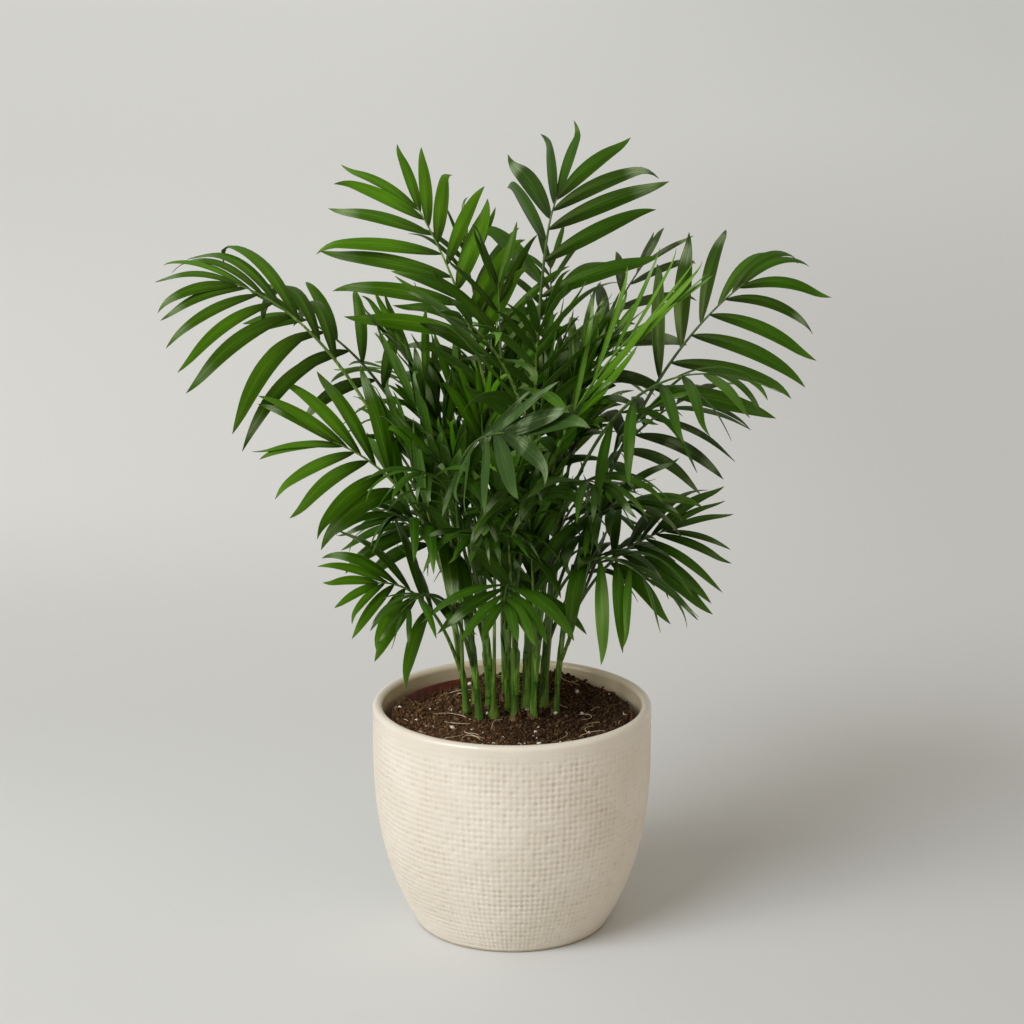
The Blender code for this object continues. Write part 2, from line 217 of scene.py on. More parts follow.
def bellyRadius(height):
    rise = max(0, 1 - height / potShape["bellyHeight"])
    spread = potShape["bellyRadius"] - potShape["footRadius"]
    return potShape["footRadius"] + spread * (1 - rise ** potShape["bellyPower"])


def wallHeights():  # heights up the outer wall, evenly spaced along its slope
    step = potShape["pitch"] / potShape["cuts"]
    height, heights = 0.5 * mm, []
    while height < potShape["reliefStart"] + step:
        heights.append(height)
        slope = (bellyRadius(height + 0.1 * mm) - bellyRadius(height)) / (0.1 * mm)
        height += step / math.hypot(1, slope)
    return heights


def pitting(row, column, place):  # 1 in the middle of a pit and 0 on the threads between
    rowDrift, columnDrift = potShape["drift"]
    row += rowDrift * noise.noise(place * 55)
    column += columnDrift * noise.noise(place * 60 + Vector((5, 0, 0)))
    across, along = [0.5 + 0.5 * math.cos(math.tau * part) for part in (column, row)]
    atCrossing, downColumn, alongRow = potShape["hollow"]
    hollow = atCrossing * across * along + downColumn * across + alongRow * along
    usual, nearby, further = potShape["uneven"]
    uneven = usual + nearby * noise.noise(place * 230) + further * noise.noise(place * 40)
    return max(0.0, hollow * uneven)


def buildPotWall(glaze, heights):
    shape = potShape
    columns = round(math.tau * shape["bellyRadius"] / shape["pitch"])
    bm = turned([(bellyRadius(height), height) for height in heights], columns * shape["cuts"])
    rowOf = {round(height, 6): number / shape["cuts"] for number, height in enumerate(heights)}
    pits = bm.verts.layers.float.new("pit")
    moves = []
    for vert in bm.verts:
        column = math.atan2(vert.co.y, vert.co.x) / math.tau * columns
        fade = (shape["reliefStart"] - vert.co.z) / (shape["reliefStart"] - shape["reliefFull"])
        fade = min(1, max(0, fade)) * min(1, vert.co.z / shape["footFade"])
        depth = pitting(rowOf[round(vert.co.z, 6)], column, vert.co) * fade
        vert[pits] = depth
        swell = shape["swell"] * noise.noise(vert.co * 28)
        out = Vector((vert.co.x, vert.co.y, 0)).normalized()
        moves.append((vert, out * (swell * fade - shape["pitDepth"] * depth)))
    for vert, move in moves:
        vert.co += move
    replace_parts(makePiece(bm, "coverPotWall", "glaze", glaze), "cover_pot")
    return columns


def buildPotLip(glaze, heights, columns):  # the lip, the wall inside and the floor
    shape = potShape
    middleRadius, middleHeight = shape["bellyRadius"] - shape["lip"], shape["height"] - shape["lip"]
    turns = [math.pi * step / shape["lipSteps"] for step in range(shape["lipSteps"] + 1)]
    lip = [(middleRadius + shape["lip"] * math.cos(turn), middleHeight + shape["lip"] * math.sin(turn))
           for turn in turns]
    inner = [(bellyRadius(height) - shape["wall"], height) for height in heights[::-8]
             if height > 2 * shape["floor"]]
    corner = inner[-1][0]
    floor = [(corner - 3 * mm, 1.3 * shape["floor"]), (corner - 10 * mm, shape["floor"]), (0, shape["floor"])]
    profile = [(bellyRadius(heights[-1]), heights[-1])] + lip + inner + floor
    makePiece(turned(profile, columns), "coverPotLip", "glaze", glaze)


def buildPotFoot(glaze, heights, columns):  # flat, with a softened edge
    foot = potShape["footRadius"]
    profile = [(0, 0), (foot - 3.5 * mm, 0), (foot - 1.2 * mm, 0), (foot - 0.4 * mm, 0.1 * mm),
               (bellyRadius(heights[0]), heights[0])]
    makePiece(turned(profile, columns), "coverPotFoot", "glaze", glaze)


def buildCoverPot(glaze):
    heights = wallHeights()
    columns = buildPotWall(glaze, heights)
    buildPotLip(glaze, heights, columns)
    buildPotFoot(glaze, heights, columns)


def glazeMaterial():
    # Cream stoneware glaze: satin over the imprint, glossier on the smooth band, a little browner in the pits
    # as painted shade, with tiny iron specks, a darker edge at the foot that is partly bare clay and partly
    # painted contact shadow, and a lighter, warmer tone inside as painted bounce light
    made, tree, shader = startMaterial("creamStonewareGlaze", {"IOR": 1.5})
    cloud = objectNoise(tree, 38, 3)
    cream = mixColour(tree, ramp(tree, cloud, 0.3, 0.7), linear("E6DDCE"), linear("DED4C3"))
    pit = addNode(tree, "Attribute", {"attribute_name": "pit"}).outputs["Fac"]
    # painted shade: the pits are mixed browner and darker
    paintedPitShade = mixColour(tree, ramp(tree, pit, 0.2, 1.1, 0, 0.26), cream, linear("B89C74"))
    place = addNode(tree, "TexCoord", {}).outputs["Object"]
    spots = addNode(tree, "TexVoronoi", {"Vector": place, "Scale": patternScale(4.6)})
    speck = ramp(tree, spots.outputs["Distance"], 0.045, 0.075, 1, 0)
    some = ramp(tree, objectNoise(tree, 26, 1), 0.56, 0.66, 0, 0.8)
    colour = mixColour(tree, times(tree, speck, some), paintedPitShade, linear("7A6445"))
    height = objectAxis(tree, "Z")
    # a darker edge at the foot: partly bare clay, partly painted contact shadow
    colour = mixColour(tree, ramp(tree, height, 0.0005, 0.003, 0.7, 0), colour, linear("A08C70"))
    # painted bounce light: the inside wall is given a lighter, warmer tone
    flat = addNode(tree, "VectorMath", {"operation": "MULTIPLY", 0: place, 1: (1, 1, 0)}).outputs[0]
    radius = addNode(tree, "VectorMath", {"operation": "LENGTH", 0: flat}).outputs["Value"]
    inside = times(tree, ramp(tree, radius, 0.0792, 0.0812, 1, 0), ramp(tree, height, 0.09, 0.11))
    colour = mixColour(tree, inside, colour, linear("F7E6C4"))
    tree.links.new(colour, shader.inputs["Base Color"])
    gloss = ramp(tree, height, 0.122, 0.136, 0.5, 0.2)
    tree.links.new(gloss, shader.inputs["Roughness"])
    addBump(tree, shader, objectNoise(tree, 1.1, 3), 0.04)
    return made


buildCoverPot(glazeMaterial())
print("cover pot made")


# Nursery pot: thin thermoformed polypropylene, seen as a terracotta line and a strip of inner wall
nurseryLow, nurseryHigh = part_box("nursery_pot")
nurseryShape = {
    "rimRadius": nurseryHigh.x,
    "rimHeight": nurseryHigh.z,
    "footRadius": 0.050,
    "rimWidth": 0.7 * mm,
    "rimDepth": 6 * mm,
    "wall": 0.9 * mm,
    "floor": 2 * mm,
    "steps": 128,
}


def nurseryRadius(height):
    share = (height - nurseryLow.z) / (nurseryShape["rimHeight"] - nurseryLow.z)
    top = nurseryShape["rimRadius"] - nurseryShape["rimWidth"]
    return nurseryShape["footRadius"] + (top - nurseryShape["footRadius"]) * share


def buildNurseryPot(plastic):
    shape = nurseryShape
    foot, top = nurseryLow.z, shape["rimHeight"]
    step = top - shape["rimDepth"]
    edge = 0.4 * mm
    inside = nurseryRadius(top) - shape["wall"]
    profile = [(0, foot), (nurseryRadius(foot) - 1 * mm, foot), (nurseryRadius(foot), foot + 1 * mm),
               (nurseryRadius(step), step - edge), (nurseryRadius(step) + 0.3 * mm, step),
               (shape["rimRadius"] - edge, step), (shape["rimRadius"], step + edge),
               (shape["rimRadius"], top - edge), (shape["rimRadius"] - edge, top),
               (inside + edge, top), (inside, top - edge),
               (nurseryRadius(foot) - shape["wall"], foot + shape["floor"]), (0, foot + shape["floor"])]
    bm = turned(profile, shape["steps"])
    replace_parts(makePiece(bm, "nurseryPot", "nursery_plastic", plastic, sharpOver=50), "nursery_pot")


def terracottaPlastic():
    # Terracotta-coloured polypropylene: a dull even red-brown with a soft plastic sheen, dusty with peat
    made, tree, shader = startMaterial("terracottaPolypropylene", {"IOR": 1.49, "Roughness": 0.55})
    dust = ramp(tree, objectNoise(tree, 5, 4), 0.3, 0.7)
    tree.links.new(mixColour(tree, dust, linear("78301A"), linear("4C2012")), shader.inputs["Base Color"])
    addBump(tree, shader, objectNoise(tree, 0.8, 2), 0.03)
    return made


buildNurseryPot(terracottaPlastic())
print("nursery pot made")


# Potting soil: a lumpy top with crumbs, perlite, bark and dead rootlets on it
soilLow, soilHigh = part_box("soil")
soilShape = {
    "top": soilHigh.z,
    "edgeGap": 1.2 * mm,
    "edgeStart": 0.62,  # from this share of the pot's radius outwards the soil is pressed up against it
    "edgeRise": 6.2 * mm,
    "edgeDip": 0.85,  # the share of that rise which is missing at the back left
    "dipWay": (0.69, 0.72),  # to the left and to the back
    "dipStart": 0.87,
    "dipSpan": 0.09,
    "rings": 64,
    "steps": 220,
    # each mound: x, y, width and height in millimetres
    "mounds": ((44, 32, 16, -6.5), (30, 60, 14, 4.0), (-44, 38, 17, -4.0), (54, 4, 11, -3.5),
               (-30, -30, 22, 1.2), (8, -40, 26, 1.8), (4, 18, 24, 1.5)),
    # each layer of lumps: height in millimetres, how many to the metre, and an offset
    "lumps": ((1.3, 75, 0), (0.9, 190, 1), (0.6, 420, 0), (0.4, 900, 0)),
}


def soilHeight(x, y):
    height = soilShape["top"]
    for moundX, moundY, width, rise in soilShape["mounds"]:
        apart = math.hypot(x - moundX * mm, y - moundY * mm) / (width * mm)
        height += rise * mm * math.exp(-apart * apart)
    outward = math.hypot(x, y) / nurseryRadius(soilShape["top"])
    left, back = soilShape["dipWay"]
    facing = (y * back - x * left) / max(1e-6, math.hypot(x, y))  # about 1 towards the back left
    backLeft = max(0, min(1, (facing - soilShape["dipStart"]) / soilShape["dipSpan"]))
    pressed = max(0, (outward - soilShape["edgeStart"]) / (1 - soilShape["edgeStart"])) ** 1.5
    height += soilShape["edgeRise"] * pressed * (1 - soilShape["edgeDip"] * backLeft)
    for rise, often, offset in soilShape["lumps"]:
        height += rise * mm * noise.noise(Vector((x, y, 0)) * often + up * offset)
    return height


def insidePot(spot):  # drawn in to the nursery pot's wall where it would pass it
    most = nurseryRadius(min(spot.z, nurseryShape["rimHeight"])) - nurseryShape["wall"] - 0.1 * mm
    radius = spot.to_2d().length
    if radius > most and spot.z < nurseryShape["rimHeight"]:
        return Vector((spot.x * most / radius, spot.y * most / radius, spot.z))
    return spot


def buildSoil(peat):
    shape = soilShape
    top = shape["top"] - 1 * mm
    rim = nurseryRadius(nurseryShape["rimHeight"]) - nurseryShape["wall"]
    low = soilLow.z
    rings = [(rim * (1 - ring / shape["rings"]), top) for ring in range(shape["rings"] + 1)]
    bm = turned([(0, low), (nurseryRadius(low) - shape["edgeGap"] - 1 * mm, low)] + rings, shape["steps"])
    for vert in bm.verts:
        if vert.co.z > low + 1 * mm:
            vert.co = insidePot(Vector((vert.co.x, vert.co.y, soilHeight(vert.co.x, vert.co.y))))
    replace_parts(makePiece(bm, "soilBed", "potting_soil", peat), "soil")


def randomSpot(dice, reach=0.985):  # a spot on the soil, even over its area
    radius = nurseryShape["rimRadius"] * reach * math.sqrt(dice.random())
    turn = dice.uniform(0, math.tau)
    x, y = radius * math.cos(turn), radius * math.sin(turn)
    return insidePot(Vector((x, y, soilHeight(x, y))))


def randomTurn(dice):
    turn = dice.uniform(0, math.tau)
    axis = Vector([dice.gauss(0, 1) for _ in range(3)]).normalized()
    return Matrix.Rotation(turn, 4, axis)


crumbShape = {
    "batch": 40,
    "sunk": 0.15,  # how deep a grain sits in the soil, as a share of its size
    "width": (0.55, 1),
    "jitter": (0.75, 1.2),
}


def buildCrumbs(name, finishes, count, sizes, flat, seed, roundness=1):
    # each grain is a jittered icosphere, sizes in millimetres; a batch of grains has one finish
    shape = crumbShape
    dice = random.Random(seed)
    whole = bmesh.new()
    for start in range(0, count, shape["batch"]):
        batch = bmesh.new()
        for _ in range(min(shape["batch"], count - start)):
            size = (sizes[0] + (sizes[1] - sizes[0]) * dice.random() ** 2) * mm
            spot = randomSpot(dice) + up * size * shape["sunk"]
            stretch = Matrix.Diagonal((1, dice.uniform(*shape["width"]), dice.uniform(*flat), 1))
            place = Matrix.Translation(spot) @ randomTurn(dice) @ stretch
            made = bmesh.ops.create_icosphere(batch, subdivisions=roundness, radius=size / 2)
            for vert in made["verts"]:
                vert.co = place @ (vert.co * dice.uniform(*shape["jitter"]))
        finish = dice.randrange(len(finishes))
        for face in batch.faces:
            face.material_index = finish
        gather(whole, batch)
    makePiece(whole, name, "potting_soil", *finishes)


rootletShape = {
    "count": 34,
    "seed": 23,
    "spread": 0.96,  # they start within this share of the pot's radius
    "length": (5, 30),
    "radius": 0.26,
    "thickStart": 1.15,
    "taper": 0.7,
    "curl": 0.11,
    "wobble": 0.07,
    "points": 14,
    "smoothing": 6,  # how often its heights are averaged, so that it lies over the crumbs
    "lift": 0.6,
    "arch": 1.2,
    "reach": 68 * mm,
}


def rootletSpots(dice):  # a curling walk over the soil that stays inside the pot
    shape = rootletShape
    spot = randomSpot(dice, shape["spread"])
    heading, bend = dice.uniform(0, math.tau), dice.gauss(0, shape["curl"])
    step = dice.uniform(*shape["length"]) * mm / shape["points"]
    spots = []
    for _ in range(shape["points"]):
        spots.append(spot)
        heading += bend + dice.gauss(0, shape["wobble"])
        spot = spot + Vector((math.cos(heading), math.sin(heading), 0)) * step
        spot = spot * min(1, shape["reach"] / spot.to_2d().length)
    return spots


def rootletLine(spots):
    shape = rootletShape
    heights = [soilHeight(spot.x, spot.y) for spot in spots]
    for _ in range(shape["smoothing"]):
        threes = zip(heights, heights[1:], heights[2:])
        heights = [heights[0]] + [sum(three) / 3 for three in threes] + [heights[-1]]
    line = []
    for number, (spot, height) in enumerate(zip(spots, heights)):
        share = number / (shape["points"] - 1)
        lift = (shape["lift"] + shape["arch"] * math.sin(math.pi * share)) * mm
        line.append((Vector((spot.x, spot.y, height + lift)),
                     shape["radius"] * mm * (shape["thickStart"] - shape["taper"] * share)))
    return line


def buildRootlets(finish):
    dice = random.Random(rootletShape["seed"])
    lines = [rootletLine(rootletSpots(dice)) for _ in range(rootletShape["count"])]
    tubes("rootlets", "potting_soil", lines, 1, finish)


def peatMaterial(name, dark, pale, grain, rough=0.95):
    # Peat and bark mix: near black where it is low, as painted shade in the hollows, paler on the left as
    # painted light, with rusty and straw-coloured fibres
    made, tree, shader = startMaterial(name, {"IOR": 1.4, "Roughness": rough, "Specular IOR Level": 0.2})
    fleck = ramp(tree, objectNoise(tree, grain, 5, roughness=0.7), 0.42, 0.68)
    # painted light: the peat is paler towards the left
    paintedLeftLight = ramp(tree, objectAxis(tree, "X"), -0.05, 0.02, 0.75, 0)
    leftLitPeat = mixColour(tree, paintedLeftLight, linear(dark), linear(pale))
    colour = mixColour(tree, fleck, leftLitPeat, linear(pale))
    # painted shade: near black where the soil lies low
    paintedHollowShade = ramp(tree, objectAxis(tree, "Z"), 0.1185, 0.126, 0.85, 0)
    tree.links.new(mixColour(tree, paintedHollowShade, colour, linear("120B06")), shader.inputs["Base Color"])
    addBump(tree, shader, objectNoise(tree, grain * 0.6, 4), 0.35)
    return made


darkPeat = peatMaterial("dampPeat", "22160C", "5E452C", 2.0)
brownPeat = peatMaterial("brownPeatFibre", "3A2817", "86694A", 1.2)
paleBark = peatMaterial("dryPineBark", "6E5539", "A68D69", 1.2)
perliteGrain = peatMaterial("expandedPerlite", "DDDACF", "F2F0E8", 0.9, 0.8)
rootFibre = peatMaterial("deadRootFibre", "B89A70", "E6D8BA", 2.5, 0.7)
buildSoil(darkPeat)
peatGrains = (darkPeat, darkPeat, brownPeat)
buildCrumbs("soilCrumbs", peatGrains, count=6800, sizes=(0.7, 3.4), flat=(0.3, 0.9), seed=11)
buildCrumbs("barkBits", (paleBark, brownPeat), count=80, sizes=(1.6, 5.0), flat=(0.15, 0.4), seed=12)
buildCrumbs("perlite", (perliteGrain,), count=48, sizes=(1.2, 3.2), flat=(0.7, 1.0), seed=13, roundness=2)
buildRootlets(rootFibre)
print("soil made")


# Canes: foot x and y, lean of the tip in x and y, and length, in millimetres
canes = (
    (-28, 8, -14, 2, 95),
    (-20, -1, -12, -4, 90),
    (-11, 3, -7, -8, 72),
    (2, -2, 0, -6, 100),
    (13, 0, 8, -4, 105),
    (27, 12, 10, 0, 95),
    (-14, 20, -8, 6, 110),
    (-2, 14, -2, 4, 120),
    (9, 18, 3, 6, 115),
    (19, 24, 8, 8, 105),
    (-22, 32, -12, 12, 100),
    (-4, 35, 0, 14, 105),
    (11, 38, 6, 14, 100),
)
caneShape = {
    "footRadius": 2.7 * mm,
    "radius": 1.75 * mm,
    "tipRadius": 1.1 * mm,
    "thickness": (0.9, 0.5),  # the thinnest cane's share of these radii, and how much more the thickest has
    "flareHeight": 12 * mm,
    "sink": 2.5 * mm,  # how far the foot goes into the soil
    "nodes": (0.10, 0.24, 0.42, 0.62, 0.82),  # shares of the length where a leaf scar rings the cane
    "scarWidth": 1.1 * mm,
    "scarRise": 0.25 * mm,
    "wander": 0.6 * mm,
    "rings": 48,
    "sides": 5,
}


def canePoint(number, share):
    x, y, leanX, leanY, length = (size * mm for size in canes[number])
    bend = max(0, share) ** 1.5
    return Vector((x + leanX * bend, y + leanY * bend, soilShape["top"] + 0.3 * mm + length * share))


def caneRadius(number, share):
    length = canes[number][4] * mm
    flare = max(0, 1 - max(0, share) * length / caneShape["flareHeight"]) ** 1.4
    taper = caneShape["radius"] + (caneShape["tipRadius"] - caneShape["radius"]) * share
    least, more = caneShape["thickness"]
    thick = least + more * ((number * golden) % 1)
    return (taper + (caneShape["footRadius"] - caneShape["radius"]) * flare) * thick


def caneWander(number, share):  # a slow sway to either side of the cane's line
    sways = [noise.noise(Vector((number, share * 3, offset))) for offset in (0, 9)]
    return Vector((*sways, 0)) * caneShape["wander"]


def buildCane(number, finish):
    length = canes[number][4] * mm
    start = -caneShape["sink"] / length
    line = []
    for ring in range(caneShape["rings"] + 1):
        share = start + (1 - start) * ring / caneShape["rings"]
        scar = sum(math.exp(-((share - node) * length / caneShape["scarWidth"]) ** 2)
                   for node in caneShape["nodes"])
        radius = caneRadius(number, share) + caneShape["scarRise"] * scar
        line.append((canePoint(number, share) + caneWander(number, share), radius))
    piece = tubes(f"cane{number + 1:02d}", "cane", [line], caneShape["sides"], finish)
    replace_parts(piece, f"cane_{number + 1:02d}")


def caneMaterial(name, dark, pale, foot):
    # Young palm cane or leaf stalk: smooth waxy green skin with lengthwise fibres and darker patches, paler
    # and yellower just above the soil
    made, tree, shader = startMaterial(name, {"IOR": 1.45, "Roughness": 0.4})
    fibre = ramp(tree, objectNoise(tree, 1.3, 3, (1, 1, 0.05)), 0.38, 0.66)
    green = mixColour(tree, fibre, linear(dark), linear(pale))
    patch = ramp(tree, objectNoise(tree, 14, 2), 0.4, 0.65, 0, 0.75)
    green = mixColour(tree, patch, green, linear(dark))
    green = mixColour(tree, ramp(tree, objectAxis(tree, "Z"), 0.128, 0.146, 0.8, 0), green, linear(foot))
    tree.links.new(green, shader.inputs["Base Color"])
    addBump(tree, shader, fibre, 0.08)
    return made


def dryMaterial(name, dark, pale):
    # Dead sheath scraps: dry straw-brown fibre with darker streaks
    made, tree, shader = startMaterial(name, {"Roughness": 0.8, "Specular IOR Level": 0.25})
    streak = ramp(tree, objectNoise(tree, 1.1, 4, (1, 1, 0.2)), 0.35, 0.65)
    tree.links.new(mixColour(tree, streak, linear(dark), linear(pale)), shader.inputs["Base Color"])
    addBump(tree, shader, streak, 0.15)
    return made


caneSkins = (caneMaterial("palmCaneSkinPale", "386A16", "8EBA4A", "64882E"),
             caneMaterial("palmCaneSkinDark", "284C10", "6A9434", "4E6E28"))
stalkSkins = (caneMaterial("palmStalkSkinDark", "324A14", "54702C", "5E7B2C"),
              caneMaterial("palmStalkSkinPale", "4E6E1E", "86A248", "5E7B2C"))
sheathSkin = caneMaterial("palmSheathSkin", "386814", "8CB446", "6E8A38")
drySheath = dryMaterial("drySheathFibre", "3E2C1B", "8B7048")
for caneNumber in range(len(canes)):
    buildCane(caneNumber, caneSkins[caneNumber % 2])
print("canes made:", len(canes))


# Fronds. Each one: its name, its cane and the share up the cane, its heading in degrees (0 right, 90 back,
# 270 front), its fork's reach from the pot's axis, the fork's height and the height that its line is drawn
# towards, in millimetres, and then what differs from the normal frond:
# pairs, leaf: pairs of leaflets, and a leaflet's length in millimetres
# width, slim, taper, forkWidth: width as a share of length; how much narrower and shorter towards the fork
# lean, sweep, roll: how the rib's line is drawn out and aside, and its turn in degrees
# bare: the share of the stalk without leaflets; young: the new leaf's materials
# angle, closing, lift, droop, hook, curl: how the leaflets leave the rib, and how they bend from there
# pitch, fold, heavyFoot, loose: a blade's turn and sag, more droop near the foot, and unevenness
# high and a name: the same on the side that the roll lifts; tone: the colour; along, across: mesh steps
frondNormal = {
    "pairs": 6, "leaf": 74, "width": 0.14, "slim": 0.3, "taper": 0.42, "forkWidth": 1.0, "fold": 0.26,
    "lean": 0.35, "sweep": 0, "bare": 0.52, "roll": 0, "pitch": 10, "angle": 58, "closing": 2.4, "lift": -8,
    "droop": 1.1, "heavyFoot": 0.35, "hook": 0.12, "curl": 0.45, "loose": 1, "highLift": -8, "highDroop": 1.0,
    "highAngle": 1.0, "highLength": 1.0, "tone": 1, "young": False, "along": 18, "across": 8,
}
innerNormal = {
    **frondNormal, "leaf": 72, "width": 0.115, "fold": 0.35, "bare": 0.46, "pitch": 22, "angle": 44,
    "closing": 3, "lift": 4, "droop": 0.7, "loose": 1.6, "tone": 0,
}
sprayNormal = {
    **innerNormal, "width": 0.12, "bare": 0.5, "highLift": 4, "loose": 2.2, "along": 13, "across": 6,
}


def frond(name, cane, share, heading, reach, tip, crest, normal=frondNormal, **more):
    words = name.split("_")
    piece = words[0] + "".join(word.title() for word in words[1:])
    return {**normal, **more, "node": name, "piece": piece, "cane": cane, "share": share, "heading": heading,
            "reach": reach, "tip": tip, "crest": crest}


def innerFrond(*place, **more):
    return frond(*place, normal=innerNormal, **more)


outerFronds = (
    frond("left_arch", 0, 0.96, 188, 161, 400, 373, pairs=7, leaf=88, lean=0.42, angle=66, roll=-44,
          lift=-25, bare=0.56, droop=1.55, width=0.12, forkWidth=0.85, highLift=-4, highAngle=0.55,
          pitch=0, loose=0.8),
    frond("left_behind", 10, 0.95, 160, 142, 370, 345, pairs=5, leaf=58, roll=-50, tone=0, width=0.15,
          highLift=0, highDroop=0.9, highAngle=0.7),
    frond("upper_left", 7, 0.96, 145, 69, 436, 362, pairs=7, leaf=90, lean=0.12, angle=56, droop=0.55,
          width=0.108, slim=0.1, taper=0.36, pitch=0, roll=-46, highAngle=0.8, lift=-6, closing=4.5,
          highLength=0.74, heavyFoot=-0.1, loose=0.6),
    frond("top_centre", 8, 0.98, 58, 51, 441, 418, pairs=5, leaf=84, lean=0.06, angle=56, lift=-22,
          droop=0.5, width=0.125, slim=0.1, taper=0.2, pitch=0, tone=0, loose=0.7, closing=3.5,
          heavyFoot=-0.2),
    frond("right_back", 12, 0.95, 49, 127, 395, 338, pairs=5, leaf=62, lean=0.30, lift=-15, droop=0.6,
          tone=2),
    frond("right_arch", 5, 0.97, 12, 141, 391, 347, leaf=86, lean=0.40, angle=62, roll=50, lift=-18,
          width=0.112, taper=0.36, highLift=-4, highDroop=0.9, highAngle=0.6, tone=0, loose=0.7,
          heavyFoot=-0.5, closing=3),
    frond("right_front", 4, 0.90, 319, 144, 362, 350, pairs=5, leaf=78, lean=0.3, roll=10, droop=1.9,
          width=0.125, loose=1.5, tone=0),
    frond("right_mid_back", 9, 0.80, 31, 136, 316, 302, leaf=68, roll=25, droop=1.5, tone=2, width=0.12),
    frond("right_low", 5, 0.55, 0, 93, 247, 234, roll=35, droop=1.0, width=0.12, tone=0),
    frond("right_low_front", 4, 0.50, 313, 112, 240, 264, pairs=5, leaf=70, roll=10, droop=1.8, tone=0,
          width=0.12, loose=2.2),
    frond("centre_front", 2, 0.95, 268, 110, 332, 315, leaf=50, sweep=-40, roll=62, angle=72, droop=0.8,
          width=0.18, slim=0, taper=-0.36, pitch=0, tone=2, bare=0.66, highAngle=0.5, highDroop=0.4,
          loose=1.4),
    frond("low_front", 3, 0.45, 267, 86, 228, 244, pairs=5, leaf=62, droop=1.15, width=0.16, pitch=30,
          tone=0, angle=66),
    frond("left_mid", 1, 0.80, 196, 108, 308, 286, leaf=80, roll=-42, width=0.12, taper=0.34,
          highAngle=0.7, highLift=4, highDroop=0.6),
    frond("left_low", 0, 0.30, 201, 85, 223, 218, leaf=66, angle=64, roll=-36, droop=1.0, bare=0.4,
          highAngle=0.75, highLift=2, highDroop=0.8),
    frond("left_low_back", 10, 0.50, 149, 88, 244, 236, pairs=5, leaf=58, roll=-20, tone=0),
    frond("upper_front", 4, 0.99, 251, 86, 391, 352, pairs=5, leaf=80, sweep=12, pitch=50, droop=0.7,
          lift=-4, width=0.12, roll=-20, highAngle=0.5, highDroop=0.4),
    frond("new_leaf", 3, 0.97, 344, 86, 382, 335, leaf=82, lean=0.3, bare=0.46, angle=15, lift=0,
          droop=-0.08, width=0.056, tone=3, young=True, fold=0.5, hook=0, slim=0.35, taper=0.46, pitch=0,
          roll=58, highLift=0, highAngle=1.5, loose=0.8),
)
innerFronds = (
    innerFrond("mid_left", 6, 0.80, 163, 72, 358, 320, leaf=62, droop=0.35, tone=1, angle=38, lift=12,
               width=0.12),
    innerFrond("upper_middle", 7, 0.85, 105, 32, 392, 330, droop=0.5),
    innerFrond("middle_right", 8, 0.80, 20, 62, 358, 320, leaf=60, droop=0.6, tone=1),
    innerFrond("front_left", 2, 0.75, 235, 88, 300, 290, leaf=64, droop=2.1, angle=62, lift=14),
    innerFrond("front_right", 4, 0.75, 300, 98, 296, 300, leaf=66, droop=2.0, pairs=5, angle=58, lift=12),
    innerFrond("inner_left", 1, 0.95, 188, 62, 336, 300, leaf=70, tone=1, angle=32, droop=0.25, lift=10,
               width=0.13),
    innerFrond("inner_right", 5, 0.75, 352, 80, 322, 296, leaf=60, droop=1.2),
    innerFrond("middle_front", 3, 0.80, 285, 70, 286, 280, leaf=62, droop=2.5, angle=64, lift=24,
               hook=0.4),
    innerFrond("middle_left", 6, 0.60, 215, 55, 300, 280, leaf=70, tone=1, angle=34, droop=0.3, lift=8,
               width=0.13),
    innerFrond("middle_back", 7, 0.60, 60, 50, 320, 290),
    innerFrond("middle", 8, 0.55, 330, 40, 318, 290, tone=1),
    innerFrond("middle_low", 7, 0.45, 252, 58, 258, 250, leaf=62, droop=2.2, lift=24, angle=60, hook=0.4),
    innerFrond("middle_high", 8, 0.75, 300, 30, 374, 330, pairs=7, tone=1),
    innerFrond("inner_left_low", 6, 0.40, 200, 72, 262, 250, leaf=76, droop=2.3, lift=18, angle=58),
    innerFrond("inner_right_low", 9, 0.55, 335, 74, 272, 260, pairs=7, droop=1.2),
    innerFrond("low_left_front", 1, 0.40, 226, 92, 216, 236, pairs=5, leaf=46, droop=1.4, angle=66),
    innerFrond("low_right", 9, 0.40, 25, 88, 226, 230, leaf=56, droop=1.3),
    innerFrond("back_left_low", 10, 0.40, 128, 102, 238, 246, droop=1.4),
    innerFrond("back_low", 11, 0.45, 92, 108, 226, 240, droop=1.5),
    innerFrond("back_right_low", 12, 0.45, 60, 104, 250, 250, droop=1.4),
    innerFrond("back_left_arch", 10, 0.75, 124, 140, 322, 318, leaf=70, droop=1.4, tone=1),
    innerFrond("back_arch", 11, 0.95, 94, 150, 350, 352, droop=1.4, tone=1),
    innerFrond("back_right_arch", 12, 0.75, 67, 136, 320, 318, leaf=70, droop=1.4, tone=1),
    innerFrond("back_upper", 11, 0.85, 108, 96, 402, 345, leaf=70, droop=0.9),
    innerFrond("back_upper_right", 9, 0.95, 76, 98, 392, 345, leaf=66, droop=0.9),
)
stalkShape = {
    "foot": 1.35 * mm,
    "middle": 1.0 * mm,
    "tip": 0.4 * mm,
    "footShare": 0.3,  # the stalk has thinned to its middle radius by this share of its length
    "points": 40,
    "sides": 3,
}
